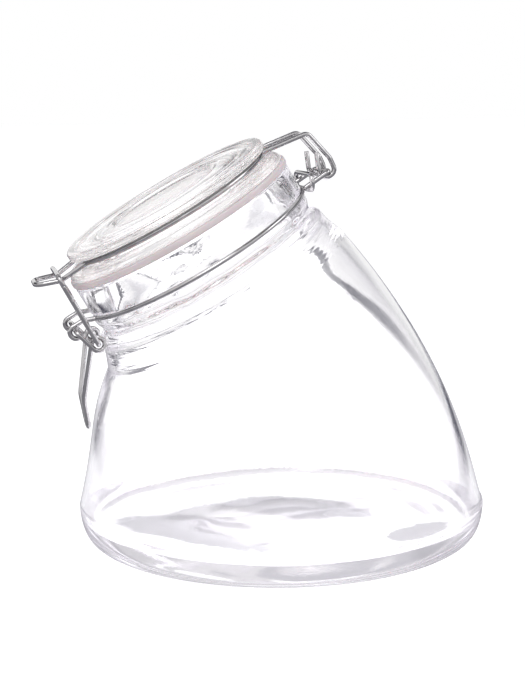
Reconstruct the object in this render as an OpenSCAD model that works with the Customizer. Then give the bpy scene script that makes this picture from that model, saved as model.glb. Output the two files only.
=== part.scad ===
// Lidded glass canister: a round glass jar whose mouth leans to the front,
// closed by a glass lid on a rubber ring and held by a wire hinge and a lever latch.
// Millimetres, +Z up, latch towards -X, hinge towards +X.
// The origin is the centre of the face that the jar stands on.

/* [Jar body] */
// Radius of the jar at its widest
body_r = 93.6; // [78:0.1:113]
// Height of the widest line above the table
heel_h = 14.2; // [11:0.1:17.5]
// How far the foot lies inside the widest line
foot_inset = 6.1; // [4:0.1:8]
// Width of the flat ring that the jar stands on
foot_ring_w = 16; // [8:0.5:24]
// Depth of the dish under the base
under_dish = 2.5; // [1:0.1:4]
// Thickness of the glass floor at its thinnest
floor_t = 7.5; // [6:0.1:9]
// Height of the floor's raised middle above its lowest ring
floor_rise = 6.5; // [2:0.1:8]
// Thickness of the wall at the widest line
wall_t = 2.4; // [2:0.1:3.2]

/* [Mouth] */
// Lean of the mouth towards the latch, in degrees
mouth_tilt = 29.8; // [20:0.1:35]
// Distance of the mouth's centre in front of the jar's middle
mouth_front = 46.6; // [40:0.1:52]
// Height of the lid's sealing face at the mouth's centre
mouth_z = 145.5; // [130:0.1:175]
// Thickness of the neck's glass
neck_wall = 8; // [5:0.1:10]
// Outer radius of the neck
neck_r = 54.5; // [53:0.1:58]
// Height of the neck below its waist
neck_tail = 17.8; // [14:0.1:22]
// How far the neck flares out where it meets the body
neck_flare = 7; // [5:0.1:12]
// Thickness of the glass where the neck meets the body
neck_foot_t = 4.8; // [3.5:0.1:6]
// Depth of the waist below the band wire
waist_drop = 8.2; // [7:0.1:10]
// How far the waist is drawn in
waist_in = 1; // [0.2:0.1:3]

/* [Lid and seal] */
// How far the lid's top disc lies inside the neck
disc_in = 4.5; // [2.5:0.1:6]
// Height of the lid's top above its sealing face
lid_h = 11.9; // [11:0.1:15]
// Thickness of the top disc's edge
disc_t = 4.2; // [3:0.1:4.3]
// How far the lid's sealing flange lies inside the neck
flange_in = 0.5; // [0:0.1:2]
// Height of the flange where it meets the wire groove
flange_h = 4.1; // [3:0.1:4.3]
// Gap between the lid's rim and the mouth
rim_gap = 1.9; // [0.8:0.1:3]
// Depth of the rim below the sealing face
rim_h = 5; // [4:0.1:8]
// Width of the rim's wall
rim_t = 6.4; // [4:0.1:9]
// Depth of the hollow under the lid, from the rim's edge
lid_hollow = 11; // [6:0.1:12]
// How far the sealing ring stands out from the neck
seal_out = 0.5; // [0:0.1:2]
// Thickness of the squeezed sealing ring
seal_t = 3.2; // [2.5:0.1:4]

/* [Wires] */
// Diameter of the steel wire
wire_d = 2.2; // [1.8:0.1:2.6]
// Centre-line radius of the wire's tight bends
bend_r = 1.8; // [1.6:0.1:2.2]
// Gap between wires that move past each other
wire_gap = 0.35; // [0.3:0.05:0.5]
// Depth of the band wire below the sealing face
band_depth = 17.3; // [16.5:0.1:18.5]
// Height of the lid wire above the floor of its groove's lower side
bail_clear = 0.8; // [0.4:0.05:1.2]
// Distance of the hinge pin from the neck
hinge_reach = 13.8; // [12:0.1:18]
// Height of the hinge pin above the band wire
hinge_rise = 0.8; // [0:0.1:2]
// Half the distance between the band's rear arms
hinge_y = 12; // [11.5:0.1:15]
// Distance of the lever's pivot outwards from the link's foot
pivot_out = 5.3; // [4.5:0.1:7]
// Depth of the lever's pivot below the band wire
pivot_drop = 0.2; // [0:0.1:1]
// Half the distance between the band's hooks
hook_y = 12.5; // [11:0.1:14]
// Play of a pin in its hook, eye or hinge loop
loop_play = 0.25; // [0.15:0.05:0.6]
// Gap between the lever's eyes and the neck
eye_gap = 0.7; // [0.5:0.1:2]
// Depth of the link's foot below the lever's pivot
foot_drop = 9.4; // [8:0.1:12]
// Distance of the nose's bend from the lid's disc
nose_out = 8.1; // [6:0.1:10]
// Depth of the nose's bend below the lid wire
nose_drop = 1.2; // [0.5:0.1:2]
// Length of the lever's handle below the eyes, along the neck
handle_h = 32; // [26:0.5:38]

/* [Hidden] */

glass = [0.90, 0.93, 0.95, 0.4];
rubber = [0.88, 0.82, 0.83];
steel = [0.72, 0.72, 0.74];
hub_fn = 120;       // segments of the large round pieces
wire_fn = 48;       // segments of a pin's section
wire_sides = 12;    // sides of a bent wire's section
bend_step = 22.5;   // turn of a bent wire between two of its sections, in degrees
ring_steps = 24;    // sections along half of a wire ring
wall_sides = 48;    // sides of each ring of the jar's wall
wall_rings = 14;    // rings up the jar's wall
overlap = 1.2;      // how far the wall is let into the base and the neck
bar_extra = 0.03;   // how far a cross bar stands proud of its wire

mouth_r = neck_r - neck_wall;
neck_foot_r = neck_r + neck_flare;
waist_r = neck_r - waist_in;
waist_depth = band_depth + waist_drop;
neck_h = waist_depth + neck_tail;
disc_r = neck_r - disc_in;
flange_r = neck_r - flange_in;
rim_r = mouth_r - rim_gap;
seal_r = neck_r + seal_out;

wire_r = wire_d / 2;
// Two wires that touch are this far apart from centre to centre, with their gap
wire_pitch = wire_d + wire_gap;
loop_r = wire_pitch + loop_play;
// Places of the pins and the nose, as distances from the neck's axis and from the seal
hinge_m = neck_r + hinge_reach;
hinge_depth = band_depth - hinge_rise;
foot_m = neck_r + loop_r + wire_r + eye_gap;
pivot_m = foot_m + pivot_out;
pivot_depth = band_depth + pivot_drop;
foot_depth = pivot_depth + foot_drop;
bail_h = flange_h + wire_r + bail_clear;
nose_m = disc_r + nose_out;
nose_h = bail_h - nose_drop;
// Centre line of the band in its groove, and of the lid's wire in its groove
band_r = neck_r + 0.2;
groove_floor_r = disc_r - 4.2;
bail_r = groove_floor_r + wire_r + 0.1;
// Half widths of the wire pieces, from the hooks outwards
lever_y = hook_y + wire_pitch + 0.15;
link_y = lever_y + wire_pitch + 0.1;
bail_y = hinge_y - bend_r - wire_r - 0.1;
nose_y = link_y - 6.5;

function cubic(a, b, c, d, t) =
    pow(1 - t, 3) * a + 3 * pow(1 - t, 2) * t * b + 3 * (1 - t) * t * t * c + t * t * t * d;
function curve(a, b, c, d, n) = [for (i = [0 : n]) cubic(a, b, c, d, i / n)];
function unit(v) = v / norm(v);
function arc_point(r, angle) = [r * cos(angle), r * sin(angle)];
// A point of the neck's own plane, as [x, z] of the jar
function from_neck(m, n) = [
    -mouth_front + m * cos(mouth_tilt) - n * sin(mouth_tilt),
    mouth_z + m * sin(mouth_tilt) + n * cos(mouth_tilt)
];

// Puts a piece that is drawn on the neck's axis, with z = 0 at the sealing face, in its place
module on_neck() {
    translate([-mouth_front, 0, mouth_z]) rotate([0, -mouth_tilt, 0]) children();
}

// The corner at b of a wire that runs from a to c, as points of a round bend of radius r
function bend_points(a, b, c, r) =
    let (u = unit(a - b), v = unit(c - b), half = acos(u * v) / 2,
        centre = b + unit(u + v) * r / sin(half),
        ex = unit(b + u * r / tan(half) - centre),
        turn = 180 - 2 * half, steps = max(1, round(turn / bend_step)))
    [for (i = [0 : steps])
        centre + r * (cos(turn * i / steps) * ex - sin(turn * i / steps) * u)];
// The centre line of a wire through the corners in path, with one bend radius for each
// inner corner
function wire_line(path, bends) = [
    path[0],
    for (i = [1 : len(path) - 2]) each bend_points(path[i - 1], path[i], path[i + 1], bends[i - 1]),
    path[len(path) - 1]
];
// The centre line of an arc round the neck's axis, between two angles at height z
function arc_line(r, z, from, to) =
    [for (i = [0 : ring_steps])
        let (p = arc_point(r, from + (to - from) * i / ring_steps)) [p.x, p.y, z]];
// A line without its first point, and without both end points
function drop_first(line) = [for (i = [1 : len(line) - 1]) line[i]];
function inner_points(line) = [for (i = [1 : len(line) - 2]) line[i]];
// A line mirrored over the plane of symmetry and run backwards
function mirrored(line) = [for (i = [len(line) - 1 : -1 : 0]) [line[i].x, -line[i].y, line[i].z]];

function direction(line, i) =
    unit(line[min(i + 1, len(line) - 1)] - line[max(i - 1, 0)]);
// The side vector of each section, turned as little as possible from one to the next
function side_vectors(line, i, last, done) =
    i == len(line) ? done :
    let (d = direction(line, i), side = unit(last - (last * d) * d))
    side_vectors(line, i + 1, side, concat(done, [side]));

// A round wire along a line, as one closed skin of flat-sided rings with two end faces
module tube(line) {
    first = direction(line, 0);
    start = unit(cross(first, abs(first.z) < 0.9 ? [0, 0, 1] : [1, 0, 0]));
    sides = side_vectors(line, 0, start, []);
    n = wire_sides;
    last = len(line) - 1;
    points = [for (i = [0 : last], j = [0 : n - 1])
        let (p = arc_point(wire_r, 360 * j / n))
        line[i] + p.x * sides[i] + p.y * cross(direction(line, i), sides[i])];
    function at(i, j) = i * n + j % n;
    skin = [for (i = [0 : last - 1], j = [0 : n - 1]) each [
        [at(i, j), at(i + 1, j), at(i + 1, j + 1)],
        [at(i, j), at(i + 1, j + 1), at(i, j + 1)]]];
    polyhedron(points, concat(skin,
        [[for (j = [0 : n - 1]) at(0, j)], [for (j = [n - 1 : -1 : 0]) at(last, j)]]),
        convexity = 6);
}

// A straight round bar across the plane of symmetry, a hair thicker than its wire
module cross_bar(m, z, half_w) {
    translate([m, half_w, z]) rotate([90, 0, 0])
        cylinder(h = 2 * half_w, r = wire_r + bar_extra, $fn = wire_fn);
}

// ---------------------------------------------------------------- jar

// Profile of the base: a dished foot, a rounded heel and a thick floor with a raised middle
module base_profile() {
    inner_r = body_r - wall_t;
    dish_r = body_r - foot_inset - foot_ring_w;
    heel = [for (a = [90 : -11.25 : 0])
        [body_r - foot_inset * (1 - cos(a)), heel_h * (1 - sin(a))]];
    corner = curve([inner_r, heel_h], [inner_r - 0.5, floor_t + 3], [inner_r - 8, floor_t + 0.3],
        [inner_r - 26, floor_t], 8);
    middle = curve([inner_r - 29, floor_t], [inner_r * 0.5, floor_t],
        [inner_r * 0.3, floor_t + floor_rise], [0, floor_t + floor_rise], 10);
    dish = curve([0, under_dish], [dish_r * 0.5, under_dish], [dish_r * 0.8, under_dish * 0.2],
        [dish_r, 0], 6);
    polygon(concat(dish, heel, corner, middle));
}

// The wall's two edges in the jar's plane of symmetry, from the widest line (t = 0) to the neck
front_foot = from_neck(-neck_foot_r, -neck_h);
back_foot = from_neck(neck_foot_r, -neck_h);
function wall_front(t) = cubic([-body_r, heel_h], [9 - body_r, heel_h + 35.9],
    front_foot - [10.2, 22.4], front_foot, t);
function wall_back(t) = cubic([body_r, heel_h], [body_r - 4, heel_h + 4.1],
    back_foot + [58.1, -66.3], back_foot, t);

// One ring of the wall: its centre, its direction, and its outer and inner radius
function wall_ring(t) =
    let (f = wall_front(t), b = wall_back(t), r = norm(b - f) / 2)
    [(f + b) / 2, unit(b - f), r, r - wall_t - (neck_foot_t - wall_t) * pow(t, 2)];
// The two end rings are let into the base and into the neck
function let_in(ring, shift) =
    [ring[0] + shift, ring[1], ring[2] - 0.15 * wall_t, ring[3] + 0.15 * wall_t];
function ring_points(ring, r) = [for (j = [0 : wall_sides - 1])
    let (p = arc_point(r, 360 * j / wall_sides))
    [ring[0].x + p.x * ring[1].x, p.y, ring[0].y + p.x * ring[1].y]];

// The wall between base and neck: rings that turn from level to the lean of the mouth
module wall_loft() {
    neck_up = from_neck(0, overlap) - from_neck(0, 0);
    rings = concat(
        [let_in(wall_ring(0), [0, -overlap])],
        [for (i = [0 : wall_rings]) wall_ring(0.012 + 0.976 * i / wall_rings)],
        [let_in(wall_ring(1), neck_up)]);
    n = wall_sides;
    top = len(rings) - 1;
    points = [for (ring = rings)
        each concat(ring_points(ring, ring[2]), ring_points(ring, ring[3]))];
    // Corner j of the outer (side = 0) or inner (side = 1) circle of ring i
    function at(i, side, j) = i * 2 * n + side * n + j % n;
    sides = [for (i = [0 : top - 1], j = [0 : n - 1]) each [
        [at(i, 0, j), at(i + 1, 0, j), at(i + 1, 0, j + 1)],
        [at(i, 0, j), at(i + 1, 0, j + 1), at(i, 0, j + 1)],
        [at(i, 1, j), at(i, 1, j + 1), at(i + 1, 1, j + 1)],
        [at(i, 1, j), at(i + 1, 1, j + 1), at(i + 1, 1, j)]]];
    ends = [for (j = [0 : n - 1]) each [
        [at(0, 0, j), at(0, 0, j + 1), at(0, 1, j + 1), at(0, 1, j)],
        [at(top, 0, j), at(top, 1, j), at(top, 1, j + 1), at(top, 0, j + 1)]]];
    polyhedron(points, concat(sides, ends), convexity = 4);
}

// Profile of the neck, with its lip, a straight collar, the waist and the shoulder ring
module neck_profile() {
    foot_in = neck_foot_r - neck_foot_t;
    ledge_h = waist_depth + 5.2;
    ledge_r = neck_foot_r - 4.2;
    lip = [for (a = [90 : -22.5 : 0]) [neck_r - 1 + cos(a), -seal_t - 1 + sin(a)]];
    bead = curve([neck_r, 6.5 - waist_depth], [neck_r + 1.2, 3.5 - waist_depth],
        [waist_r, 2 - waist_depth], [waist_r, -waist_depth], 6);
    hollow = curve([waist_r, -waist_depth], [waist_r, -waist_depth - 2],
        [waist_r + 0.8, 2.2 - ledge_h], [waist_r + 2, 2 - ledge_h], 4);
    shoulder = curve([waist_r + 2.2, 2 - ledge_h], [ledge_r - 0.3, 1.9 - ledge_h],
        [ledge_r, 1 - ledge_h], [ledge_r + 0.2, -ledge_h], 5);
    inside = curve([foot_in, -neck_h], [foot_in - 2, 12 - neck_h],
        [mouth_r + 1.2, -waist_depth], [mouth_r + 0.6, 6 - waist_depth], 8);
    polygon(concat(lip, bead, hollow, shoulder, [[neck_foot_r, -neck_h]], inside,
        [[mouth_r, -seal_t - 1], [mouth_r + 0.7, -seal_t]]));
}

module jar_body() {
    color(glass) {
        rotate_extrude($fn = hub_fn) base_profile();
        wall_loft();
        on_neck() difference() {
            rotate_extrude($fn = hub_fn) neck_profile();
            translate([0, 0, -band_depth]) rotate_extrude($fn = hub_fn)
                translate([band_r, 0]) circle(r = wire_r + 0.15, $fn = wire_fn);
        }
    }
}

// ---------------------------------------------------------------- lid and seal

module glass_lid() {
    edge = 1.6;     // rounding of the disc's edge
    top = lid_h - edge;
    rim_in = rim_r - rim_t;
    ceiling = lid_hollow - rim_h;
    groove_top = lid_h - disc_t;
    disc = [for (a = [90 : -15 : 0]) [disc_r - edge + edge * cos(a), top + edge * sin(a)]];
    under = [for (a = [0 : -30 : -90])
        [disc_r - 1 + cos(a), groove_top + 1 + sin(a)]];
    flange = curve([disc_r - 1, flange_h], [flange_r - 2, flange_h - 0.2],
        [flange_r - 0.3, 2.2], [flange_r, 1], 6);
    hollow = curve([rim_in, 1 - rim_h], [rim_in - 0.5, ceiling - 1],
        [rim_in - 4, ceiling], [rim_in - 8, ceiling], 5);
    color(glass) on_neck() rotate_extrude($fn = hub_fn) polygon(concat(
        [[0, lid_h - 1], [26, lid_h - 1], [28, lid_h - 0.3], [34, lid_h]],
        disc, under, [[groove_floor_r, groove_top], [groove_floor_r, flange_h]], flange,
        [[flange_r, 0.6], [flange_r - 0.6, 0], [rim_r, 0], [rim_r, 1 - rim_h],
         [rim_r - 1, -rim_h], [rim_in + 1, -rim_h]],
        hollow, [[0, ceiling]]));
}

module gasket_ring() {
    corner = 0.5;
    color(rubber) on_neck() translate([0, 0, -seal_t]) rotate_extrude($fn = hub_fn) polygon([
        [rim_r + 0.2, 0], [seal_r - corner, 0], [seal_r, corner],
        [seal_r, seal_t - corner], [seal_r - corner, seal_t], [rim_r + 0.2, seal_t]]);
}

// ---------------------------------------------------------------- wires

// A wire ring of radius r is open at the front and the back, where each end runs off
// straight to a corner at half width y
function end_angle(r, y) = asin(y / r) + 5;
function ring_end(r, y, back) =
    arc_point(r, back ? end_angle(r, y) : 180 - end_angle(r, y));
function corner_x(r, y, back) =
    let (e = ring_end(r, y, back))
    e.x + (back ? 1 : -1) * (e.y - y) * tan(end_angle(r, y));

// The band round the neck: hooks at the front, and a hinge bow at the back
module neck_band() {
    z = -band_depth;
    back = ring_end(band_r, hinge_y, true);
    front = ring_end(band_r, hook_y, false);
    // The hook's centre lies a little below the pivot, which is pulled up against it
    hook = [-pivot_m, -pivot_depth - (loop_r - wire_pitch)];
    hook_line = wire_line([
        [hook.x + 2.2, hook_y, hook.y - loop_r],
        [hook.x - loop_r, hook_y, hook.y - loop_r],
        [hook.x - loop_r, hook_y, hook.y + loop_r],
        [hook.x + 5, hook_y, hook.y + loop_r],
        [corner_x(band_r, hook_y, false), hook_y, z],
        [front.x, front.y, z]
    ], [loop_r - 0.1, loop_r - 0.1, 3, 2]);
    arm_line = wire_line([
        [back.x, back.y, z],
        [corner_x(band_r, hinge_y, true), hinge_y, z],
        [hinge_m, hinge_y, -hinge_depth],
        [hinge_m, 0, -hinge_depth]
    ], [2.4, bend_r]);
    ring = arc_line(band_r, z, 180 - end_angle(band_r, hook_y), end_angle(band_r, hinge_y));
    half = concat(hook_line, inner_points(ring), arm_line);
    color(steel) on_neck() {
        tube(concat([for (i = [0 : len(half) - 2]) half[i]], drop_first(mirrored(half))));
        cross_bar(hinge_m, -hinge_depth, hinge_y - bend_r - 0.1);
    }
}

// A flat wire loop that holds the band's two rear arms together
module band_tie() {
    half_w = hinge_y + wire_pitch + 0.1;
    half_h = wire_d + 1.2;
    // The loop's two ends meet face to face, a hair apart
    split = 0.05;
    color(steel) on_neck()
        translate([hinge_m - 9.7, 0, 0.5 - (band_depth + hinge_depth) / 2]) rotate([0, 27, 0])
            tube(wire_line([
                [0, split / 2, half_h], [0, half_w, half_h], [0, half_w, -half_h],
                [0, -half_w, -half_h], [0, -half_w, half_h], [0, -split / 2, half_h]
            ], [3, 3, 3, 3]));
}

// The wire in the lid's groove: a nose for the latch, and two loops round the hinge pin
module lid_bail() {
    front_y = 15;
    back = ring_end(bail_r, bail_y, true);
    front = ring_end(bail_r, front_y, false);
    loop_w = loop_r + 0.5;
    // The loop hangs a wire's gap below the pin
    loop_z = -hinge_depth - wire_pitch;
    // Up from the free end, round under the hinge pin, and forward to the lid's groove
    rear_line = wire_line([
        [hinge_m - 0.2, bail_y, 9.6 - hinge_depth],
        [hinge_m - loop_w, bail_y, 2 - hinge_depth],
        [hinge_m - loop_w, bail_y, loop_z],
        [hinge_m + loop_w, bail_y, loop_z],
        [hinge_m + loop_w + 0.5, bail_y, 4.5 - hinge_depth],
        [hinge_m + 0.4, bail_y, bail_h - 3.3],
        [corner_x(bail_r, bail_y, true), bail_y, bail_h],
        [back.x, back.y, bail_h]
    ], [3, loop_w - 0.1, loop_w - 0.1, 4, 3, 2]);
    nose_line = wire_line([
        [front.x, front.y, bail_h],
        [corner_x(bail_r, front_y, false), front_y, bail_h],
        [-nose_m, nose_y, nose_h],
        [-nose_m - 10.3, nose_y - 2, nose_h + 3.7],
        [-nose_m - 10.3, 0, nose_h + 3.7]
    ], [2, 3, 5]);
    ring = arc_line(bail_r, bail_h, end_angle(bail_r, bail_y), 180 - end_angle(bail_r, front_y));
    half = concat(rear_line, inner_points(ring), nose_line);
    color(steel) on_neck()
        tube(concat([for (i = [0 : len(half) - 2]) half[i]], drop_first(mirrored(half))));
}

// The closed link from the lever's eyes up over the nose
module latch_link() {
    top = [-nose_m, nose_h + wire_pitch + 0.2];
    foot = [-foot_m, -foot_depth];
    half = wire_line([
        [foot.x, 1, foot.y], [foot.x, link_y, foot.y], [top.x, link_y, top.y],
        [top.x, 0, top.y]
    ], [bend_r, 2.4]);
    color(steel) on_neck() {
        tube(concat([for (i = [0 : len(half) - 2]) half[i]], drop_first(mirrored(half))));
        cross_bar(foot.x, foot.y, link_y - bend_r - 0.1);
    }
}

// The lever: a pivot bar in the band's hooks, two eyes for the link and a hairpin handle
module latch_lever() {
    pivot = [-pivot_m, -pivot_depth];
    eye = [-foot_m, -foot_depth - (loop_r - wire_pitch)];
    away = pivot - eye;
    // Angles at which the side bar meets the eye, and at which the handle leaves it
    meet = atan2(away.y, away.x) + acos(loop_r / norm(away));
    leave = 141.6;
    steps = 14;
    eye_line = [for (i = [0 : steps])
        let (p = eye + arc_point(loop_r, meet + (leave + 360 - meet) * i / steps))
        [p.x, lever_y - wire_pitch * i / steps, p.y]];
    knee = eye + arc_point(loop_r, leave) - [16.5, 20.9];
    tip = [knee.x - 4.7, -foot_depth - handle_h];
    half = concat(
        wire_line([[pivot.x, 1, pivot.y], [pivot.x, lever_y, pivot.y], eye_line[0]], [bend_r]),
        drop_first(eye_line),
        drop_first(wire_line([
            eye_line[steps], [knee.x, 8, knee.y], [tip.x, 5, tip.y], [tip.x, 0, tip.y]
        ], [10, 4])));
    color(steel) on_neck() {
        tube(concat([for (i = [0 : len(half) - 2]) half[i]], drop_first(mirrored(half))));
        cross_bar(pivot.x, pivot.y, lever_y - bend_r - 0.1);
    }
}

jar_body();
glass_lid();
gasket_ring();
neck_band();
band_tie();
lid_bail();
latch_link();
latch_lever();
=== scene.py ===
import math

import bmesh
import bpy
from mathutils import Matrix, Vector, noise


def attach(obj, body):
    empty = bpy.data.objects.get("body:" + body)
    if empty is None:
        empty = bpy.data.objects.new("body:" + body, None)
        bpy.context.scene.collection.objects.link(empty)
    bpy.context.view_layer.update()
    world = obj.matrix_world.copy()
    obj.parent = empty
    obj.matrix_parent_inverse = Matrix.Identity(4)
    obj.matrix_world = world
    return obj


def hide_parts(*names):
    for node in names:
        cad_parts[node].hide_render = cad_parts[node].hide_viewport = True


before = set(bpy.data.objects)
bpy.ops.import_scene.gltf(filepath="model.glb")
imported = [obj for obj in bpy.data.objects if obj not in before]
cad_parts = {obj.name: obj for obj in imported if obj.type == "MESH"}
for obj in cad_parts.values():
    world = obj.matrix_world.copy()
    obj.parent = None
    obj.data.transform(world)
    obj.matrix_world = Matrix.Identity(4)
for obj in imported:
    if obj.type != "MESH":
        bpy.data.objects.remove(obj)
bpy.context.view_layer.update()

# ---------------------------------------------------------------- jar
# The jar is blown in one piece of clear soda glass: a thick floor with a raised middle,
# a thin wall whose rings lean over towards the latch, and a leaning neck with a groove
# for the band wire. It is one closed shell, lofted ring by ring from the underside.
MM = 0.001
BODY_R, HEEL_H, WALL_T = 93.56, 14.2, 2.4
HEEL_IN, FOOT_R = 6.1, 87.0
FLOOR_T, FLOOR_RISE, DISH_R, DISH_H = 7.5, 6.5, 71.5, 2.5
LEAN = math.radians(29.8)
MOUTH_X, MOUTH_Z = -46.6, 145.5
MOUTH_R, NECK_R, NECK_H = 46.5, 54.5, 43.3
NECK_FOOT_R, NECK_FOOT_T = 61.5, 4.8
WAIST_R, WAIST_DEPTH, LEDGE_H = 53.5, 25.5, 30.7
BAND_DEPTH, WIRE_R, SEAL_T = 17.3, 1.1, 3.2
GLASS_SIDES, GLASS_SHARP, WALL_STEPS = 144, 24, 44
NECK = Matrix.Translation((MOUTH_X, 0, MOUTH_Z)) @ Matrix.Rotation(-LEAN, 4, "Y")
TO_METRES = Matrix.Scale(MM, 4)


def curve(a, b, c, d, n):
    """n + 1 points of the cubic curve that leaves a towards b and comes to d from c."""
    a, b, c, d = (Vector(p) for p in (a, b, c, d))
    return [
        (1 - t) ** 3 * a + 3 * (1 - t) ** 2 * t * b + 3 * (1 - t) * t * t * c + t**3 * d
        for t in (i / n for i in range(n + 1))
    ]


def on_neck(r, n):
    """The ring of radius r at height n over the sealing face."""
    return TO_METRES @ NECK @ Matrix.Translation((0, 0, n)) @ Matrix.Scale(max(r, 0.05), 4)


def level(r, z):
    """The level ring of radius r at height z round the jar's middle."""
    return TO_METRES @ Matrix.Translation((0, 0, z)) @ Matrix.Scale(max(r, 0.05), 4)


def loft(bm, rings, sides):
    """One closed skin from ring to ring, with a face over the first and the last. It
    returns each ring's vertices."""
    circle = bmesh.ops.create_circle(
        bm, cap_ends=True, radius=1, segments=sides, matrix=rings[0]
    )["verts"]
    edges = {e for v in circle for e in v.link_edges}
    skin = [circle]
    for last, ring in zip(rings, rings[1:]):
        made = bmesh.ops.extrude_edge_only(bm, edges=list(edges))["geom"]
        verts = [g for g in made if isinstance(g, bmesh.types.BMVert)]
        edges = {e for v in verts for e in v.link_edges if e.is_boundary}
        bmesh.ops.transform(bm, matrix=ring @ last.inverted(), verts=verts)
        skin.append(verts)
    bmesh.ops.contextual_create(bm, geom=list(edges))
    return skin


def piece(bm, name, node, body, finish, sharp=32):
    """Makes the finished mesh a piece that rides on its body in place of its CAD node."""
    bmesh.ops.recalc_face_normals(bm, faces=bm.faces)
    for face in bm.faces:
        face.smooth = True
    for edge in bm.edges:
        edge.smooth = edge.calc_face_angle(0) < math.radians(sharp)
    mesh = bpy.data.meshes.new(name)
    bm.to_mesh(mesh)
    bm.free()
    mesh.materials.append(finish)
    made = bpy.data.objects.new(name, mesh)
    bpy.context.scene.collection.objects.link(made)
    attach(made, body)
    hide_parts(node)
    return made


class Signal:
    """A socket of a node tree. Sums written with it add Math nodes."""

    def __init__(self, tree, socket):
        self.tree, self.socket = tree, socket

    def node(self, kind, settings, sockets, out=0):
        """Adds a node: its settings are set first, then its sockets' values or links."""
        made = self.tree.nodes.new("ShaderNode" + kind)
        for name, value in settings.items():
            if name == "stops":
                ramp = made.color_ramp.elements
                while len(ramp) < len(value):
                    ramp.new(0.5)
                for element, (place, colour) in zip(ramp, value):
                    element.position, element.color = place, colour
            else:
                setattr(made, name, value)
        self.feed(made, sockets)
        return Signal(self.tree, made.outputs[out])

    def feed(self, node, sockets):
        """Sets a node's sockets to values or links."""
        for name, value in sockets.items():
            if isinstance(value, Signal):
                self.tree.links.new(value.socket, node.inputs[name])
            else:
                node.inputs[name].default_value = value

    def sum(self, operation, *values):
        return self.node("Math", {"operation": operation}, dict(enumerate(values)))

    def __add__(self, other):
        return self.sum("ADD", self, other)

    def __sub__(self, other):
        return self.sum("SUBTRACT", self, other)

    def __rsub__(self, other):
        return self.sum("SUBTRACT", other, self)

    def __mul__(self, other):
        return self.sum("MULTIPLY", self, other)

    def __pow__(self, other):
        return self.sum("POWER", self, other)

    def __abs__(self):
        return self.sum("ABSOLUTE", self)

    __radd__, __rmul__ = __add__, __mul__

    def spread(self, low, high, to_low, to_high):
        """The signal, stretched from low..high to to_low..to_high and held there."""
        return self.node(
            "MapRange", {}, {0: self, 1: low, 2: high, 3: to_low, 4: to_high}
        )


def new_finish(name):
    """A new material, its shader, and the signal of the place on the object."""
    made = bpy.data.materials.new(name)
    made.use_nodes = True
    tree = made.node_tree
    shader = tree.nodes["Principled BSDF"]
    spot = tree.nodes.new("ShaderNodeTexCoord").outputs["Object"]
    return made, shader, Signal(tree, spot)


def glass_finish(name, clear, edge, deep, painted_reflection_colour, square, wave_scale, wave_height):
    """Clear wavy glass with a pale shadow. It is tinted darker at grazing angles, a painted edge
    shade, and takes a painted dark reflection where its shade says so, at the share square when it
    is seen square on."""
    black, painted_glow_grey = (0, 0, 0, 1), (0.08, 0.078, 0.082, 1)
    made, shader, place = new_finish(name)
    # The glass is painted darker towards the edge colour at grazing angles: a painted shade that
    # stands in for the dark reflections along its outline
    grazing = place.node("LayerWeight", {}, {"Blend": 0.42}, 1)
    tint = place.node(
        "Mix", {"data_type": "RGBA"},
        {0: grazing ** 3.0, 6: (*clear, 1), 7: (*edge, 1)}, 2,
    )
    shade = place.node("Attribute", {"attribute_name": "shade"}, {}, 2)
    streaks = place.node(
        "TexNoise", {}, {"Vector": place, "Scale": 60.0, "Detail": 5.0, "Distortion": 1.5}
    )
    # Where the shade attribute says so, a painted dark reflection and shade is mixed into the
    # glass's colour, broken up by streaks
    painted_reflection_share = (shade + (streaks - 0.5) * 0.7).spread(0.3, 0.5, 0.0, 1.0)
    painted_reflection_share = painted_reflection_share * shade.spread(0.02, 0.3, 0.0, 1.0)
    painted_reflection_share = painted_reflection_share * grazing.spread(0.25, 0.7, square, 1.0)
    tint = place.node(
        "Mix", {"data_type": "RGBA"}, {0: painted_reflection_share, 6: tint, 7: (*painted_reflection_colour, 1)}, 2
    )
    wave = place.node("TexNoise", {}, {"Vector": place, "Scale": wave_scale, "Detail": 1.0})
    fine = place.node("TexNoise", {}, {"Vector": place, "Scale": 900.0, "Detail": 2.0})
    bump = place.node(
        "Bump", {}, {"Strength": 1.0, "Distance": wave_height, "Height": wave + fine * 0.01}
    )
    # After seven bounces, light gains a little grey at each surface of the glass that it
    # meets: the glass glows there, a painted glow. That is a shortcut, which keeps thick corners
    # from going black.
    turned = place.node("LightPath", {}, {}, "Ray Depth").spread(6.5, 7.0, 0.0, 1.0)
    painted_glow = place.node("Mix", {"data_type": "RGBA"}, {0: turned, 6: black, 7: painted_glow_grey}, 2)
    made.cycles.emission_sampling = "NONE"
    place.feed(shader, {
        "Base Color": tint, "Roughness": fine.spread(0.45, 0.8, 0.0, 0.03),
        "Normal": bump, "IOR": 1.5, "Transmission Weight": 1.0,
        "Emission Color": painted_glow, "Emission Strength": 1.0,
    })
    shadow = place.node("BsdfTransparent", {}, {"Color": (0.93, 0.93, 0.94, 1)})
    shadow_ray = place.node("LightPath", {}, {}, "Is Shadow Ray")
    mixed = place.node(
        "MixShader", {},
        {0: shadow_ray, 1: Signal(place.tree, shader.outputs[0]), 2: shadow},
    )
    output = place.tree.nodes["Material Output"]
    depth = place.node("VolumeAbsorption", {}, {"Color": (*deep, 1), "Density": 4.5})
    place.feed(output, {"Surface": mixed, "Volume": depth})
    return made


def neck_place(m, n):
    return NECK @ Vector((m, 0, n))


front_foot, back_foot = neck_place(-NECK_FOOT_R, -NECK_H), neck_place(NECK_FOOT_R, -NECK_H)


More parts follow.
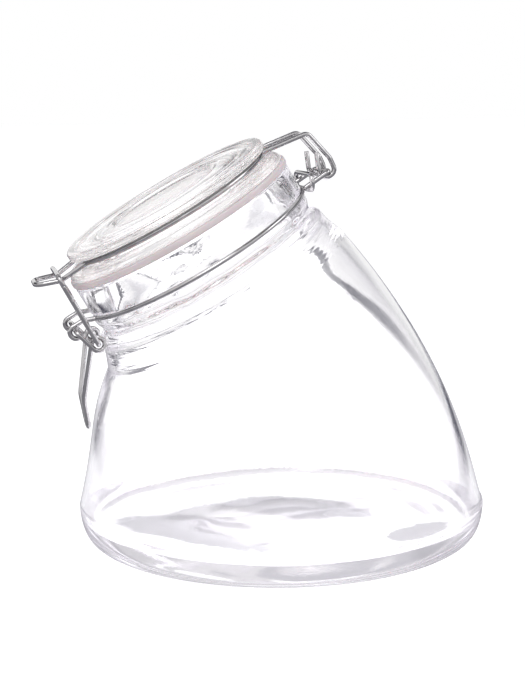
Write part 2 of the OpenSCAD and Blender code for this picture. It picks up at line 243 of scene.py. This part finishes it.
def wall_rings(steps, thick):
    """The rings up the wall's outer face, or up its inner face if thick is set."""
    front = curve(
        (-BODY_R, 0, HEEL_H), (9 - BODY_R, 0, HEEL_H + 35.9),
        front_foot - Vector((10.2, 0, 22.4)), front_foot, steps,
    )
    back = curve(
        (BODY_R, 0, HEEL_H), (BODY_R - 4, 0, HEEL_H + 4.1),
        back_foot + Vector((58.1, 0, -66.3)), back_foot, steps,
    )
    rings = []
    for i, (f, b) in enumerate(zip(front, back)):
        r = (b - f).length / 2
        r -= thick * (WALL_T + (NECK_FOOT_T - WALL_T) * (i / steps) ** 2)
        lean = math.atan2(b.z - f.z, b.x - f.x)
        rings.append(
            TO_METRES @ Matrix.Translation((f + b) / 2)
            @ Matrix.Rotation(-lean, 4, "Y") @ Matrix.Scale(r, 4)
        )
    return rings


def arc(m, n, r, start, end, steps):
    """Points of an arc round (m, n), its angles in degrees."""
    angles = [math.radians(start + (end - start) * i / steps) for i in range(steps + 1)]
    return [Vector((m + r * math.cos(a), n + r * math.sin(a))) for a in angles]


under = curve((0, DISH_H), (DISH_R * 0.5, DISH_H), (DISH_R * 0.8, DISH_H * 0.2), (DISH_R, 0), 14)
foot = [(DISH_R + 1, 0), (FOOT_R, 0)]
heel_steps = 16
heel_turns = [math.radians(90 - 90 * i / heel_steps) for i in range(heel_steps)]
heel = [
    (BODY_R - HEEL_IN * (1 - math.cos(a)), HEEL_H * (1 - math.sin(a))) for a in heel_turns
]
inner_r = BODY_R - WALL_T
floor = curve((inner_r, HEEL_H), (inner_r - 0.5, FLOOR_T + 3), (inner_r - 8, FLOOR_T + 0.3),
              (inner_r - 26, FLOOR_T), 18)
floor += curve((inner_r - 28, FLOOR_T), (inner_r * 0.5, FLOOR_T),
               (inner_r * 0.3, FLOOR_T + FLOOR_RISE), (0, FLOOR_T + FLOOR_RISE), 26)
groove = arc(NECK_R + 0.2, -BAND_DEPTH, WIRE_R + 0.15, 99, 261, 10)
# Fine shallow rings run round the outside of the neck's foot
RIPPLE, RIPPLE_TURNS = 0.04, 3.4
foot_line = curve((NECK_FOOT_R, -NECK_H), (NECK_FOOT_R - 0.6, 2.5 - NECK_H),
                  (NECK_FOOT_R - 4.0, -LEDGE_H - 4), (NECK_FOOT_R - 4.0, -LEDGE_H), 30)
collar = (
    [Vector((p.x - RIPPLE * (1 + math.sin(p.y * RIPPLE_TURNS)), p.y)) for p in foot_line[1:]]
    + curve((NECK_FOOT_R - 4.2, 1 - LEDGE_H), (NECK_FOOT_R - 4.5, 1.9 - LEDGE_H),
            (WAIST_R + 2.2, 2 - LEDGE_H), (WAIST_R + 2, 2 - LEDGE_H), 6)
    + curve((WAIST_R + 1.5, 2.1 - LEDGE_H), (WAIST_R, -WAIST_DEPTH - 2),
            (WAIST_R, -WAIST_DEPTH - 1), (WAIST_R, -WAIST_DEPTH), 6)
    + curve((WAIST_R, 0.3 - WAIST_DEPTH), (WAIST_R, 2 - WAIST_DEPTH),
            (NECK_R + 1.0, 3.5 - WAIST_DEPTH), (NECK_R, 6.3 - WAIST_DEPTH), 10)
    + groove[::-1]
    + [Vector((NECK_R, -12.0))]
    + arc(NECK_R - 1, -SEAL_T - 1.02, 1, 0, 90, 6)
)
lip = [
    Vector((MOUTH_R + 0.7, -SEAL_T - 0.02)), Vector((MOUTH_R + 0.2, -SEAL_T - 0.3)),
    Vector((MOUTH_R, -SEAL_T - 1.0)), Vector((MOUTH_R + 0.2, -12.0)),
]
throat = curve(
    (MOUTH_R + 0.6, 6 - WAIST_DEPTH), (MOUTH_R + 1.2, -WAIST_DEPTH),
    (NECK_FOOT_R - NECK_FOOT_T - 2, 12 - NECK_H), (NECK_FOOT_R - NECK_FOOT_T, -NECK_H), 16,
)
outside = (
    [level(*p) for p in [*under[1:], *foot, *heel]]
    + wall_rings(WALL_STEPS, 0)[:-1]
    + [on_neck(*p) for p in collar + lip]
)
inside = (
    [on_neck(*p) for p in throat]
    + wall_rings(WALL_STEPS, 1)[-2:0:-1]
    + [level(*p) for p in floor]
)
shell = bmesh.new()
shade = shell.verts.layers.float.new("shade")
skin = loft(shell, outside + inside, GLASS_SIDES)
throat_at, crease_at = len(outside), len(outside) + len(throat)

# The floor's inside is wavy. Three patches of it are tinted grey, which stands in for dark
# reflections. Each patch has its middle, half its length and width, and its turn.
PATCHES = ((-46, -26, 54, 20, -45), (3, -12, 46, 19, -15), (50, -49, 27, 12, 40))
FLOOR_WAVE, WAVE_END, WAVE_FADE = 3.0, 88.0, 20.0


def from_patch(p, x, y, long, wide, turn):
    """0 in the middle of a patch and 1 at its edge."""
    at = Matrix.Rotation(-math.radians(turn), 2) @ Vector((p.x - x, p.y - y))
    return (at.x / long) ** 2 + (at.y / wide) ** 2


for ring in skin[-len(floor):]:
    for v in ring:
        reach = min(1.0, max(0.0, (WAVE_END - v.co.xy.length / MM) / WAVE_FADE))
        swell = noise.noise(v.co * 15 + Vector((3, 1, 0)))
        v.co.z += reach * FLOOR_WAVE * swell * MM
        v.co.z += reach * 0.25 * FLOOR_WAVE * noise.noise(v.co * 50) * MM
        v[shade] = max(0.0, *(1 - from_patch(v.co / MM, *patch) for patch in PATCHES))

# The neck's inside is wavy, with faint flutes along it
NECK_WAVE, FLUTE_SCALE = 0.6, 16
to_neck = (TO_METRES @ NECK).inverted()
for ring in skin[throat_at:crease_at]:
    for v in ring:
        q = to_neck @ v.co
        turn = math.atan2(q.y, q.x)
        at_side = Vector((math.cos(turn), math.sin(turn), 0)) * FLUTE_SCALE
        round_neck = Vector((at_side.x, at_side.y, q.z * 0.04))
        wave = noise.noise(q * 0.11) + 0.3 * noise.noise(q * 0.4)
        wave += 0.2 * noise.noise(round_neck)
        q.xy *= 1 + NECK_WAVE * wave / q.xy.length
        v.co = TO_METRES @ NECK @ q

# The crease inside, between the neck and the wall, is smoothed until it is round
RINGS_ABOVE, RINGS_BELOW, SMOOTHINGS = 8, 4, 14
crease = [v for ring in skin[crease_at - RINGS_ABOVE:crease_at + RINGS_BELOW] for v in ring]
for _ in range(SMOOTHINGS):
    bmesh.ops.smooth_vert(
        shell, verts=crease, factor=0.5, use_axis_x=True, use_axis_y=True, use_axis_z=True
    )
jar_glass = glass_finish(
    "jar_glass", clear=(1.0, 0.995, 1.0), edge=(0.34, 0.33, 0.38), deep=(0.76, 0.74, 0.78),
    painted_reflection_colour=(0.15, 0.145, 0.17), square=0.3, wave_scale=16.0, wave_height=0.0009,
)
piece(shell, "jar", "jar_body", "jar", jar_glass, GLASS_SHARP)

# ---------------------------------------------------------------- neck band
# The band is one length of bright drawn steel wire, 2.2 mm thick, round the neck's groove.
# At the front its two ends curl into hooks for the lever's pivot, and at the back it runs
# out in two arms and a cross bar, which is the hinge pin.
WIRE_SIDES = 24
PITCH = 2.55
BAND_R = NECK_R + 0.2
HINGE_M, HINGE_N, HINGE_Y = 68.3, -16.5, 12.0
PIVOT_M, PIVOT_N, HOOK_Y = -64.4, -17.5, 12.5
LOOP_R, BEND_R = 2.8, 1.8
END_STEPS, END_LOSS = (0.12, 0.35), 0.28
RING_STEP, LONG_RUN = 0.3, 6


def wire_finish(name, bright):
    """Bright drawn steel: fine lines along the wire, and small darker, rougher stains."""
    made, shader, place = new_finish(name)
    drawn = place.node("Attribute", {"attribute_name": "drawn"}, {}, 1)
    lines = place.node("TexNoise", {}, {"Vector": drawn, "Scale": 9.0, "Detail": 3.0})
    stains = place.node("TexNoise", {}, {"Vector": place, "Scale": 160.0, "Detail": 3.0})
    bump = place.node(
        "Bump", {}, {"Strength": 0.35, "Distance": 0.00004, "Height": lines + stains * 0.4}
    )
    colour = place.node(
        "Mix", {"data_type": "RGBA"},
        {0: stains.spread(0.35, 0.7, 0.0, 1.0), 6: (*bright, 1),
         7: (*[c * 0.82 for c in bright], 1)}, 2,
    )
    place.feed(shader, {
        "Base Color": colour, "Metallic": 1.0, "Normal": bump,
        "Roughness": (lines * 0.6 + stains * 0.4).spread(0.3, 0.7, 0.07, 0.2),
    })
    return made


def unit_dot(a, b):
    return max(-1.0, min(1.0, a.normalized().dot(b.normalized())))


def bent(corners, bends, step=11.0):
    """The centre line through the corners, rounded at each inner one by its bend radius."""
    corners = [Vector(c) for c in corners]
    line = [corners[0]]
    for a, b, c, r in zip(corners, corners[1:], corners[2:], bends):
        u, v = (a - b).normalized(), (c - b).normalized()
        half = math.acos(unit_dot(u, v)) / 2
        centre = b + (u + v).normalized() * r / math.sin(half)
        ex = (b + u * r / math.tan(half) - centre).normalized()
        turn = math.pi - 2 * half
        steps = max(1, round(math.degrees(turn) / step))
        line += [
            centre + r * (math.cos(turn * i / steps) * ex - math.sin(turn * i / steps) * u)
            for i in range(steps + 1)
        ]
    return line + [corners[-1]]


def ring_arc(r, n, start, end, steps=48):
    """The centre line of an arc round the neck at height n, its angles in degrees."""
    return [Vector((p.x, p.y, n)) for p in arc(0, 0, r, start, end, steps)]


def both_halves(half):
    """The line on from its last point in the plane of symmetry through its mirror image."""
    return half[:-1] + [Vector((p.x, -p.y, p.z)) for p in half[::-1]]


def wire(bm, line, radii=None, place=NECK, free=True):
    """Bends round wire along the line. radii gives the share of its radius by length, and
    free ends are cut off square and a little rounded."""
    points = [p for i, p in enumerate(line) if i == 0 or (p - line[i - 1]).length > 0.02]
    if radii:  # the straight runs need rings of their own where the thickness changes
        points = [
            a.lerp(b, i / n) for a, b in zip(points, points[1:])
            for n in [round((b - a).length / RING_STEP) if (b - a).length > LONG_RUN else 1]
            for i in range(n)
        ] + [points[-1]]
    if free:
        for end, step in ((0, 1), (-1, -1)):
            out = (points[end + step] - points[end]).normalized()
            near = [points[end] + out * d for d in END_STEPS]
            points = [points[0], *near, *points[1:]] if end == 0 else [
                *points[:-1], *near[::-1], points[-1]]
    lengths = [0.0]
    for a, b in zip(points, points[1:]):
        lengths.append(lengths[-1] + (b - a).length)
    first = (points[1] - points[0]).normalized()
    side = first.cross((0, 0, 1) if abs(first.z) < 0.9 else (1, 0, 0)).normalized()
    rings = []
    for i, p in enumerate(points):
        ahead = (points[min(i + 1, len(points) - 1)] - points[max(i - 1, 0)]).normalized()
        side = (side - side.dot(ahead) * ahead).normalized()
        up = ahead.cross(side)
        r = WIRE_R
        if free:
            gone = min(lengths[i], lengths[-1] - lengths[i])
            r *= 1 - END_LOSS * max(0.0, 1 - gone / END_STEPS[-1]) ** 2
        if radii:
            r *= radii(lengths[i])
        axes = Matrix((side, up, ahead)).transposed().to_4x4()
        rings.append(TO_METRES @ place @ Matrix.Translation(p) @ axes @ Matrix.Scale(r, 4))
    layer = bm.verts.layers.float_vector.new("drawn")
    skin = loft(bm, rings, WIRE_SIDES)
    for verts, ring, along in zip(skin, rings, lengths):
        back = ring.inverted()
        for v in verts:
            flat = back @ v.co
            v[layer] = (flat.x, flat.y, along * 0.04)


def end_angle(r, y):
    return math.degrees(math.asin(y / r)) + 5


def ring_end(r, y, back):
    """Where a wire ring stops, at half width about y, and the corner that it runs off to."""
    turn = math.radians(end_angle(r, y))
    sign = 1 if back else -1
    end = Vector((sign * r * math.cos(turn), r * math.sin(turn)))
    return end, end.x + sign * (end.y - y) * math.tan(turn)


hinge_end, hinge_corner = ring_end(BAND_R, HINGE_Y, True)
hook_end, hook_corner = ring_end(BAND_R, HOOK_Y, False)
hook_n = PIVOT_N - (LOOP_R - PITCH)
hook = bent([
    (PIVOT_M + 2.2, HOOK_Y, hook_n - LOOP_R), (PIVOT_M - LOOP_R, HOOK_Y, hook_n - LOOP_R),
    (PIVOT_M - LOOP_R, HOOK_Y, hook_n + LOOP_R), (PIVOT_M + 5, HOOK_Y, hook_n + LOOP_R),
    (hook_corner, HOOK_Y, -BAND_DEPTH), (*hook_end, -BAND_DEPTH),
], [LOOP_R - 0.1, LOOP_R - 0.1, 3, 2])
arm = bent([
    (*hinge_end, -BAND_DEPTH), (hinge_corner, HINGE_Y, -BAND_DEPTH),
    (HINGE_M, HINGE_Y, HINGE_N), (HINGE_M, 0, HINGE_N),
], [2.4, BEND_R])
band_ring = ring_arc(
    BAND_R, -BAND_DEPTH, 180 - end_angle(BAND_R, HOOK_Y), end_angle(BAND_R, HINGE_Y)
)
steel = wire_finish("bright_wire", (0.54, 0.53, 0.54))
band = bmesh.new()
wire(band, both_halves(hook + band_ring[1:-1] + arm))
piece(band, "neck_wire", "neck_band", "jar", steel)

# ---------------------------------------------------------------- arm tie
# A flat loop of the same wire is pressed over the band's two rear arms and holds them
# together. Its two ends meet face to face.
TIE_W, TIE_H, TIE_M = 14.65, 3.4, 58.6
tie_place = (
    NECK @ Matrix.Translation((TIE_M, 0, 0.5 + (HINGE_N - BAND_DEPTH) / 2))
    @ Matrix.Rotation(math.radians(27), 4, "Y")
)
tie = bmesh.new()
wire(tie, bent([
    (0, 0.03, TIE_H), (0, TIE_W, TIE_H), (0, TIE_W, -TIE_H),
    (0, -TIE_W, -TIE_H), (0, -TIE_W, TIE_H), (0, -0.03, TIE_H),
], [3, 3, 3, 3]), place=tie_place, free=False)
piece(tie, "arm_tie", "band_tie", "jar", steel)

# ---------------------------------------------------------------- sealing ring
# The sealing ring is soft silicone, moulded in a pale pink beige. The lid's flange
# squeezes it to 3.1 mm against the jar's lip, and its edges are rounded.
RIM_R, SEAL_R, SEAL_ROUND = 44.6, 55.0, 0.9


def rubber_finish(name, colour):
    """Soft translucent silicone, dusty and slightly mottled."""
    made, shader, place = new_finish(name)
    mottle = place.node("TexNoise", {}, {"Vector": place, "Scale": 70.0, "Detail": 3.0})
    dust = place.node("TexNoise", {}, {"Vector": place, "Scale": 1500.0, "Detail": 2.0})
    bump = place.node("Bump", {}, {"Strength": 0.3, "Distance": 0.00005, "Height": dust})
    tone = place.node(
        "Mix", {"data_type": "RGBA"},
        {0: mottle.spread(0.3, 0.7, 0.0, 1.0), 6: (*colour, 1),
         7: (*[c * 0.9 for c in colour], 1)}, 2,
    )
    place.feed(shader, {
        "Base Color": tone, "Roughness": dust.spread(0.3, 0.7, 0.38, 0.55), "Normal": bump,
        "Subsurface Weight": 0.35, "Subsurface Scale": 0.004, "IOR": 1.41,
        "Transmission Weight": 0.25,
    })
    return made


seal = bmesh.new()
seal_low, seal_high, seal_in = -SEAL_T + 0.04, -0.04, RIM_R + 0.25
section = (
    [Vector((seal_in, seal_low))]
    + arc(SEAL_R - SEAL_ROUND, seal_low + SEAL_ROUND, SEAL_ROUND, -90, 0, 6)
    + arc(SEAL_R - SEAL_ROUND, seal_high - SEAL_ROUND, SEAL_ROUND, 0, 90, 6)
    + [Vector((seal_in, seal_high))]
)
profile = [seal.verts.new((p.x, 0, p.y)) for p in section]
outline = [seal.edges.new(pair) for pair in zip(profile, profile[1:] + profile[:1])]
bmesh.ops.spin(
    seal, geom=profile + outline, cent=(0, 0, 0), axis=(0, 0, 1), dvec=(0, 0, 0),
    angle=2 * math.pi, steps=GLASS_SIDES, use_merge=True, use_duplicate=False,
)
bmesh.ops.transform(seal, matrix=TO_METRES @ NECK, verts=seal.verts)
bmesh.ops.remove_doubles(seal, verts=seal.verts, dist=1e-6)
silicone = rubber_finish("silicone", (0.80, 0.73, 0.75))
piece(seal, "sealing_ring", "gasket_ring", "lid", silicone)

# ---------------------------------------------------------------- lid
# The lid is pressed from the same clear glass: a disc with a stepped, recessed middle, a
# groove for its wire, a flange over the sealing ring and a rim that enters the mouth.
LID_H, DISC_R, DISC_T, FLANGE_R, FLANGE_H = 11.9, 50.0, 4.2, 54.0, 4.1
RIM_H, RIM_T, HOLLOW, RECESS, TOP_ROUND = 5.0, 6.4, 11.0, 1, 1.6
GROOVE_R = DISC_R - 4.2
rim_in, ceiling, groove_top = RIM_R - RIM_T, HOLLOW - RIM_H, LID_H - DISC_T
rim_rings = [34] + [38 + 0.8 * i for i in range(12)]
lid_line = (
    [Vector((r, LID_H - RECESS + 0.06 * math.sin(r * 1.6))) for r in (4, 10, 16, 21)]
    + curve((24.6, LID_H - 1.1), (25.6, LID_H - 1.2), (25.4, LID_H), (26.6, LID_H - 0.05), 8)
    + curve((27.4, LID_H - 0.25), (27.8, LID_H - 0.4), (28.4, LID_H - 0.1), (29.4, LID_H - 0.05), 5)
    + [Vector((r, LID_H - 0.05 - 0.12 * max(0, math.sin((r - 38) * 1.4)))) for r in rim_rings]
    + arc(DISC_R - TOP_ROUND, LID_H - TOP_ROUND, TOP_ROUND, 90, 0, 8)
    + [Vector((DISC_R - 0.12 * (i % 2), LID_H - 1.8 - 0.22 * i)) for i in range(5)]
    + arc(DISC_R - 1, groove_top + 1, 1, 0, -90, 6)
    + [Vector((GROOVE_R + 0.4, groove_top)), Vector((GROOVE_R, groove_top - 0.4))]
    + [Vector((GROOVE_R, FLANGE_H + 0.3)), Vector((GROOVE_R + 0.3, FLANGE_H))]
    + curve((DISC_R - 1, FLANGE_H), (FLANGE_R - 2, FLANGE_H - 0.2),
            (FLANGE_R - 0.3, 2.2), (FLANGE_R, 1), 10)
    + [Vector((FLANGE_R, 0.6)), Vector((FLANGE_R - 0.2, 0.15)), Vector((FLANGE_R - 0.6, 0))]
    + [Vector((RIM_R + 0.15, 0)), Vector((RIM_R, -0.15)), Vector((RIM_R, 1 - RIM_H))]
    + arc(RIM_R - 1, 1 - RIM_H, 1, 0, -90, 5)[1:]
    + arc(rim_in + 1, 1 - RIM_H, 1, -90, -180, 5)
    + curve((rim_in, 1 - RIM_H), (rim_in - 0.5, ceiling - 1),
            (rim_in - 4, ceiling), (rim_in - 8, ceiling), 12)[1:]
    + [Vector((r, ceiling)) for r in (20, 10, 4)]
)
lid = bmesh.new()
shade = lid.verts.layers.float.new("shade")
lid_skin = loft(lid, [on_neck(*p) for p in lid_line], GLASS_SIDES)
# The top of the wire's groove is tinted dark: painted shade under the disc and a painted
# reflection, which stand in for the shadow there and for what it would mirror
for p, ring in zip(lid_line, lid_skin):
    for v in ring:
        v[shade] = abs(p.y - groove_top) < 0.5 and p.x < DISC_R - 0.9
lid_glass = glass_finish(
    "lid_glass", clear=(0.99, 0.985, 0.98), edge=(0.50, 0.48, 0.48), deep=(0.78, 0.75, 0.72),
    painted_reflection_colour=(0.03, 0.03, 0.03), square=0.9, wave_scale=24.0, wave_height=0.0006,
)
piece(lid, "lid", "glass_lid", "lid", lid_glass, GLASS_SHARP)

# ---------------------------------------------------------------- lid wire
# One length of the steel wire lies in the lid's groove. At the front it is drawn out into
# a blunt nose for the latch, and at the back its two ends loop round the hinge pin.
BAIL_N, BAIL_Y, NOSE_CORNER_Y = 6.0, 9.0, 15.0
BAIL_R = GROOVE_R + WIRE_R + 0.1
NOSE_M, NOSE_N, NOSE_Y = -58.1, 4.8, 11.35
NOSE_OUT, NOSE_RISE = 10.28, 3.7
LOOP_W, LOOP_N = LOOP_R + 0.5, HINGE_N - PITCH
rear_end, rear_corner = ring_end(BAIL_R, BAIL_Y, True)
front_end, front_corner = ring_end(BAIL_R, NOSE_CORNER_Y, False)
rear = bent([
    (HINGE_M - 0.2, BAIL_Y, 9.6 + HINGE_N), (HINGE_M - LOOP_W, BAIL_Y, 2 + HINGE_N),
    (HINGE_M - LOOP_W, BAIL_Y, LOOP_N), (HINGE_M + LOOP_W, BAIL_Y, LOOP_N),
    (HINGE_M + LOOP_W + 0.5, BAIL_Y, 4.5 + HINGE_N), (HINGE_M + 0.4, BAIL_Y, BAIL_N - 3.3),
    (rear_corner, BAIL_Y, BAIL_N), (*rear_end, BAIL_N),
], [3, LOOP_W - 0.1, LOOP_W - 0.1, 4, 3, 2])
nose = bent([
    (*front_end, BAIL_N), (front_corner, NOSE_CORNER_Y, BAIL_N), (NOSE_M, NOSE_Y, NOSE_N),
    (NOSE_M - NOSE_OUT, NOSE_Y - 2, NOSE_N + NOSE_RISE),
    (NOSE_M - NOSE_OUT, 0, NOSE_N + NOSE_RISE),
], [2, 3, 5])
lid_ring = ring_arc(
    BAIL_R, BAIL_N, end_angle(BAIL_R, BAIL_Y), 180 - end_angle(BAIL_R, NOSE_CORNER_Y)
)
bail = bmesh.new()
wire(bail, both_halves(rear + lid_ring[1:-1] + nose))
piece(bail, "lid_wire", "lid_bail", "lid", steel)

# ---------------------------------------------------------------- lever
# The lever is bent from the same wire: a pivot bar that turns in the band's hooks, an eye
# on each side for the link, and a hairpin handle that hangs down in front of the neck.
FOOT_M, FOOT_N, HANDLE_H = -59.1, -26.9, 32.0
LEVER_Y = HOOK_Y + PITCH + 0.15
EYE_STEPS, LEAVE = 30, 141.6
KNEE_OUT, KNEE_DROP, KNEE_Y = 16.5, 20.9, 8
TIP_OUT, TIP_Y = 4.7, 5
eye = Vector((FOOT_M, FOOT_N - (LOOP_R - PITCH)))
away = Vector((PIVOT_M, PIVOT_N)) - eye
meet = math.degrees(math.atan2(away.y, away.x) + math.acos(LOOP_R / away.length))
around = arc(*eye, LOOP_R, meet, LEAVE + 360, EYE_STEPS)
eye_line = [
    Vector((p.x, LEVER_Y - PITCH * i / EYE_STEPS, p.y)) for i, p in enumerate(around)
]
knee = around[-1] - Vector((KNEE_OUT, KNEE_DROP))
handle_tip = Vector((knee.x - TIP_OUT, FOOT_N - HANDLE_H))
lever_half = bent(
    [(PIVOT_M, 0.03, PIVOT_N), (PIVOT_M, LEVER_Y, PIVOT_N), eye_line[0]], [BEND_R]
)[:-1] + eye_line + bent([
    eye_line[-1], (knee.x, KNEE_Y, knee.y), (handle_tip.x, TIP_Y, handle_tip.y),
    (handle_tip.x, 0, handle_tip.y),
], [10, 4])[1:]
lever = bmesh.new()
wire(lever, both_halves(lever_half), free=False)
piece(lever, "lever", "latch_lever", "lever", steel)

# ---------------------------------------------------------------- link
# The link is a closed loop of the wire. Its foot lies through the lever's eyes and its
# top hooks over the nose. Its ends are lapped and welded in one leg.
LINK_Y = LEVER_Y + PITCH + 0.1
LAP_AT, LAP_HALF, LAP_END = 93.0, 3.8, 0.5
THICKER, NICKED = 1.09, 0.86
link_top = NOSE_N + PITCH + 0.2
link_half = bent([
    (FOOT_M, 0.03, FOOT_N), (FOOT_M, LINK_Y, FOOT_N), (NOSE_M, LINK_Y, link_top),
    (NOSE_M, 0, link_top),
], [BEND_R, 2.4])


def lap(along):
    """The share of the wire's radius: thicker in the lap, with a nick at each of its ends."""
    past = abs(along - LAP_AT) - LAP_HALF
    if past < -LAP_END:
        return THICKER
    return NICKED if past < 0.1 else 1.0


link = bmesh.new()
wire(link, both_halves(link_half), lap, free=False)
piece(link, "link", "latch_link", "link", steel)

# ---------------------------------------------------------------- studio
# A pale table and a white backdrop with soft light from above. Glass and wire also show a
# dark flag on each side behind the jar, as they do in a studio set for glass.
table_mesh = bmesh.new()
bmesh.ops.create_grid(table_mesh, x_segments=1, y_segments=1, size=12.0)
mesh = bpy.data.meshes.new("table")
table_mesh.to_mesh(mesh)
table_mesh.free()
table = bpy.data.objects.new("table", mesh)
bpy.context.scene.collection.objects.link(table)
FLAG, WHITE = (0.05, 0.05, 0.08, 1), (1, 1, 1, 1)
FLAG_COS, FLAG_SIN = 0.976, 0.217
TABLE_GLOW, TABLE_MIRRORED, TABLE_IN_METAL, FLAGS_IN_WORLD = 0.36, 0.8, 0.8, 0.22


def flags(way, start, stop):
    """1 where a flag stands to either side behind the jar and 0 elsewhere, the height, and
    how far behind the jar it is."""
    x = way.node("SeparateXYZ", {}, {0: way})
    y, z = (Signal(x.tree, x.socket.node.outputs[i]) for i in (1, 2))
    side = abs(x * FLAG_COS - y * FLAG_SIN)
    near = side.spread(start, start * 1.2, 0.0, 1.0)
    far = side.spread(stop, stop * 1.2, 1.0, 0.0)
    behind = x * FLAG_SIN + y * FLAG_COS
    return near * far * behind.spread(0.0, 0.2, 0.0, 1.0), z, behind


def seen_in(way, *rays):
    """1 for these kinds of ray, and 0 for all others."""
    path = way.node("LightPath", {}, {}, rays[0])
    total = path
    for ray in rays[1:]:
        total = total + Signal(path.tree, path.socket.node.outputs[ray])
    return total.sum("MINIMUM", total, 1.0)


def metal_ray(way):
    """1 for what a wire mirrors straight, and 0 for what is seen through glass."""
    return seen_in(way, "Is Glossy Ray") * (1.0 - seen_in(way, "Is Transmission Ray"))


MIRRORED = ("Is Glossy Ray", "Is Transmission Ray")
pale, shader, place = new_finish("pale_table")
grain = place.node("TexNoise", {}, {"Vector": place, "Scale": 40.0, "Detail": 2.0})
place.feed(shader, {
    "Base Color": (0.88, 0.88, 0.885, 1), "Roughness": grain.spread(0.3, 0.7, 0.8, 0.9),
    "Specular IOR Level": 0.1, "Emission Color": WHITE,
    "Emission Strength": seen_in(place, "Is Camera Ray") * TABLE_GLOW
    + seen_in(place, *MIRRORED) * TABLE_MIRRORED,
})
flag_light = place.node("Emission", {}, {"Color": FLAG, "Strength": 1.0})
flag, _, _ = flags(place, start=0.24, stop=1.1)
dark = flag * seen_in(place, *MIRRORED)
dark = dark.sum("MAXIMUM", dark, metal_ray(place) * TABLE_IN_METAL)
table_out = place.node(
    "MixShader", {}, {0: dark, 1: Signal(place.tree, shader.outputs[0]), 2: flag_light}
)
place.feed(place.tree.nodes["Material Output"], {"Surface": table_out})
mesh.materials.append(pale)

world = bpy.data.worlds.new("studio")
world.use_nodes = True
tree = world.node_tree
way = Signal(tree, tree.nodes.new("ShaderNodeTexCoord").outputs["Generated"])
flagged, height, behind = flags(way, start=0.42, stop=0.75)
high = height.node("ValToRGB", {"stops": [
    (0.0, WHITE), (0.22, WHITE), (0.32, (0.78, 0.78, 0.81, 1)),
    (0.5, (0.75, 0.75, 0.78, 1)), (0.62, WHITE),
]}, {0: height})
# In the metal, dark gaps show between the backdrop, the soft box overhead and the bright
# front of the studio
gaps = height.node("ValToRGB", {"stops": [
    (0.0, WHITE), (0.16, WHITE), (0.26, (0.05, 0.05, 0.06, 1)),
    (0.5, (0.04, 0.04, 0.05, 1)), (0.6, WHITE), (0.78, WHITE),
    (0.88, (0.2, 0.2, 0.22, 1)),
]}, {0: height})
front = behind.spread(-0.35, 0.05, 1.0, 0.0) * height.spread(0.6, 0.75, 1.0, 0.0)
metal = way.node("Mix", {"data_type": "RGBA"}, {0: front, 6: gaps, 7: WHITE}, 2)
over = way.node("Mix", {"data_type": "RGBA"}, {0: metal_ray(way), 6: high, 7: metal}, 2)
backdrop = way.node(
    "Mix", {"data_type": "RGBA"}, {0: flagged * FLAGS_IN_WORLD, 6: over, 7: FLAG}, 2
)
lit = way.node("Mix", {"data_type": "RGBA"},
               {0: seen_in(way, *MIRRORED), 6: (0.75, 0.75, 0.76, 1), 7: backdrop}, 2)
shown = way.node("Mix", {"data_type": "RGBA"},
                 {0: seen_in(way, "Is Camera Ray"), 6: lit, 7: WHITE}, 2)
way.feed(tree.nodes["Background"], {"Color": shown, "Strength": 1.0})
bpy.context.scene.world = world


def soft_lamp(name, place, size, power):
    """A large square lamp that faces the jar."""
    data = bpy.data.lights.new(name, "AREA")
    data.size, data.energy = size, power
    lamp = bpy.data.objects.new(name, data)
    lamp.location = place
    aim = Vector((0, 0, 0.08)) - lamp.location
    lamp.rotation_euler = aim.to_track_quat("-Z", "Y").to_euler()
    lamp.visible_camera = False
    bpy.context.scene.collection.objects.link(lamp)


soft_lamp("key_lamp", place=(-0.5, -0.7, 1.1), size=0.7, power=5.0)
soft_lamp("fill_lamp", place=(0.9, -0.3, 0.8), size=0.6, power=2.5)

# ---------------------------------------------------------------- camera
# The camera stands a little to the left of the jar's front and looks slightly down.
camera = bpy.data.objects.new("camera", bpy.data.cameras.new("camera"))
camera.data.lens, camera.data.sensor_width = 72.0, 36.0
right, up = Vector((0.9756, -0.2193, -0.0133)), Vector((0.0513, 0.1688, 0.9843))
camera.matrix_world = Matrix.Translation((-0.14525, -0.61792, 0.19675)) @ Matrix(
    (right, up, right.cross(up))
).transposed().to_4x4()
bpy.context.scene.collection.objects.link(camera)
bpy.context.scene.camera = camera
bpy.context.scene.view_settings.view_transform = "Standard"
# Thick glass passes light on by many inner reflections
bpy.context.scene.cycles.max_bounces = 24
bpy.context.scene.cycles.transmission_bounces = 24
bpy.context.scene.cycles.glossy_bounces = 16
